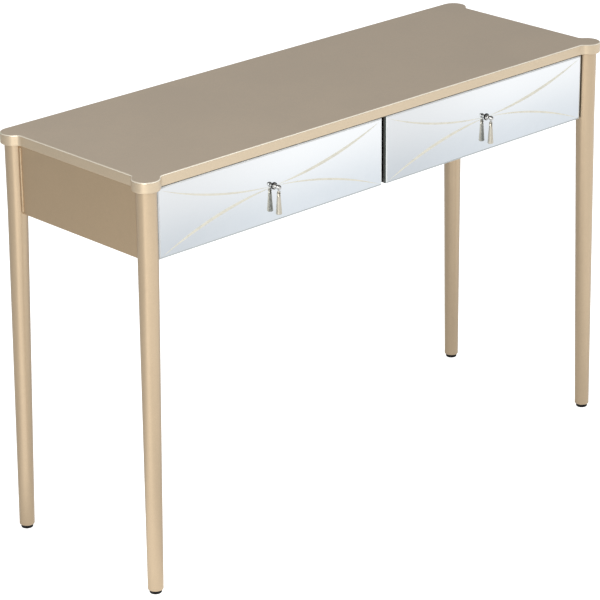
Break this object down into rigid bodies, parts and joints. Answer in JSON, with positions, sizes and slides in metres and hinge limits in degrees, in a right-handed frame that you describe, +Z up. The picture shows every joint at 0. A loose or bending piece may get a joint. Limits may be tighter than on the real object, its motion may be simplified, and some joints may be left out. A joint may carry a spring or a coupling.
{
  "type": "vanity table",
  "caption": "Champagne-painted vanity console table on round tapered legs, with bevelled mirror-faced drawers that slide out and swinging drop pulls.",
  "frame": {"origin": "on the floor under the middle of the table", "axes": "+X along the table towards its right end, the drawers face -Y, +Z up"},
  "size_m": [1.16, 0.4, 0.762],
  "materials": {
    "top_paint": "satin champagne lacquer on board",
    "leg_paint": "satin champagne-gold lacquer",
    "panel_paint": "satin champagne lacquer on board",
    "glide_plastic": "matt black",
    "carcass_board": "dark brown sealed board",
    "dowel_wood": "raw beech",
    "bolt_steel": "zinc plated",
    "screw_steel": "zinc plated",
    "slide_steel": "zinc plated sheet",
    "front_board_paint": "near-black sealed board",
    "backing_board": "grey backing sheet",
    "mirror": "polished, bevelled, green-tinted edge",
    "inlay_gilt": "pale gilt line",
    "drawer_bottom_board": "thin board with a fabric-like print",
    "drawer_board": "lacquered board",
    "pull_chrome": "polished",
    "pendant_metal": "satin silver-champagne plate"
  },
  "bodies": {
    "table_frame": {"back_panel": "panel_paint", "centre_partition": "carcass_board", "corner_blocks": "carcass_board", "foot_glide_back_left": "glide_plastic", "foot_glide_back_right": "glide_plastic", "foot_glide_front_left": "glide_plastic", "foot_glide_front_right": "glide_plastic", "front_stretcher": "carcass_board", "front_top_rail": "carcass_board", "left_drawer_slide_inner_fixed_rail": "slide_steel", "left_drawer_slide_outer_fixed_rail": "slide_steel", "leg_back_left": "leg_paint", "leg_back_right": "leg_paint", "leg_bolts": "bolt_steel", "leg_front_left": "leg_paint", "leg_front_right": "leg_paint", "panel_dowels": "dowel_wood", "right_drawer_slide_inner_fixed_rail": "slide_steel", "right_drawer_slide_outer_fixed_rail": "slide_steel", "side_panel_left": "panel_paint", "side_panel_right": "panel_paint", "slide_spacers": "carcass_board", "table_top": "top_paint", "top_screws": "screw_steel"},
    "left_drawer": {"left_drawer_box_back": "drawer_board", "left_drawer_box_bottom": "drawer_bottom_board", "left_drawer_box_front": "drawer_board", "left_drawer_front_board": "front_board_paint", "left_drawer_front_screws": "screw_steel", "left_drawer_mirror_backing": "backing_board", "left_drawer_mirror_glass": "mirror", "left_drawer_mirror_inlay": "inlay_gilt", "left_drawer_pull_post": "pull_chrome", "left_drawer_pull_rosette": "pull_chrome", "left_drawer_side_inner": "drawer_board", "left_drawer_side_outer": "drawer_board", "left_drawer_slide_inner_drawer_rail": "slide_steel", "left_drawer_slide_outer_drawer_rail": "slide_steel"},
    "left_pull_pendant": {"left_drawer_pull_pendant": "pendant_metal"},
    "left_pull_ring": {"left_drawer_pull_ring": "pull_chrome"},
    "left_middle_rails": {"left_drawer_slide_inner_middle_rail": "slide_steel", "left_drawer_slide_outer_middle_rail": "slide_steel"},
    "right_drawer": {"right_drawer_box_back": "drawer_board", "right_drawer_box_bottom": "drawer_bottom_board", "right_drawer_box_front": "drawer_board", "right_drawer_front_board": "front_board_paint", "right_drawer_front_screws": "screw_steel", "right_drawer_mirror_backing": "backing_board", "right_drawer_mirror_glass": "mirror", "right_drawer_mirror_inlay": "inlay_gilt", "right_drawer_pull_post": "pull_chrome", "right_drawer_pull_rosette": "pull_chrome", "right_drawer_side_inner": "drawer_board", "right_drawer_side_outer": "drawer_board", "right_drawer_slide_inner_drawer_rail": "slide_steel", "right_drawer_slide_outer_drawer_rail": "slide_steel"},
    "right_pull_pendant": {"right_drawer_pull_pendant": "pendant_metal"},
    "right_pull_ring": {"right_drawer_pull_ring": "pull_chrome"},
    "right_middle_rails": {"right_drawer_slide_inner_middle_rail": "slide_steel", "right_drawer_slide_outer_middle_rail": "slide_steel"}
  },
  "joints": [
    {"name": "left_drawer_slide", "type": "slide", "parent": "table_frame", "child": "left_drawer", "axis": [0, -1, 0], "range_m": [0, 0.28]},
    {"name": "left_middle_rails_slide", "type": "slide", "parent": "table_frame", "child": "left_middle_rails", "axis": [0, -1, 0], "range_m": [0, 0.14]},
    {"name": "left_pull_ring_turn", "type": "hinge", "parent": "left_drawer", "child": "left_pull_ring", "pos_m": [-0.26948, -0.1902, 0.678], "axis": [0, 1, 0], "continuous": true},
    {"name": "left_pendant_swing", "type": "hinge", "parent": "left_pull_ring", "child": "left_pull_pendant", "pos_m": [-0.26948, -0.1902, 0.6698], "axis": [1, 0, 0], "range_deg": [-75, 8]},
    {"name": "right_drawer_slide", "type": "slide", "parent": "table_frame", "child": "right_drawer", "axis": [0, -1, 0], "range_m": [0, 0.28]},
    {"name": "right_middle_rails_slide", "type": "slide", "parent": "table_frame", "child": "right_middle_rails", "axis": [0, -1, 0], "range_m": [0, 0.14]},
    {"name": "right_pull_ring_turn", "type": "hinge", "parent": "right_drawer", "child": "right_pull_ring", "pos_m": [0.26948, -0.1902, 0.678], "axis": [0, 1, 0], "continuous": true},
    {"name": "right_pendant_swing", "type": "hinge", "parent": "right_pull_ring", "child": "right_pull_pendant", "pos_m": [0.26948, -0.1902, 0.6698], "axis": [1, 0, 0], "range_deg": [-75, 8]}
  ],
  "couplings": [
    {"joint": "left_middle_rails_slide", "follows": "left_drawer_slide", "ratio": 0.5},
    {"joint": "right_middle_rails_slide", "follows": "right_drawer_slide", "ratio": 0.5}
  ]
}
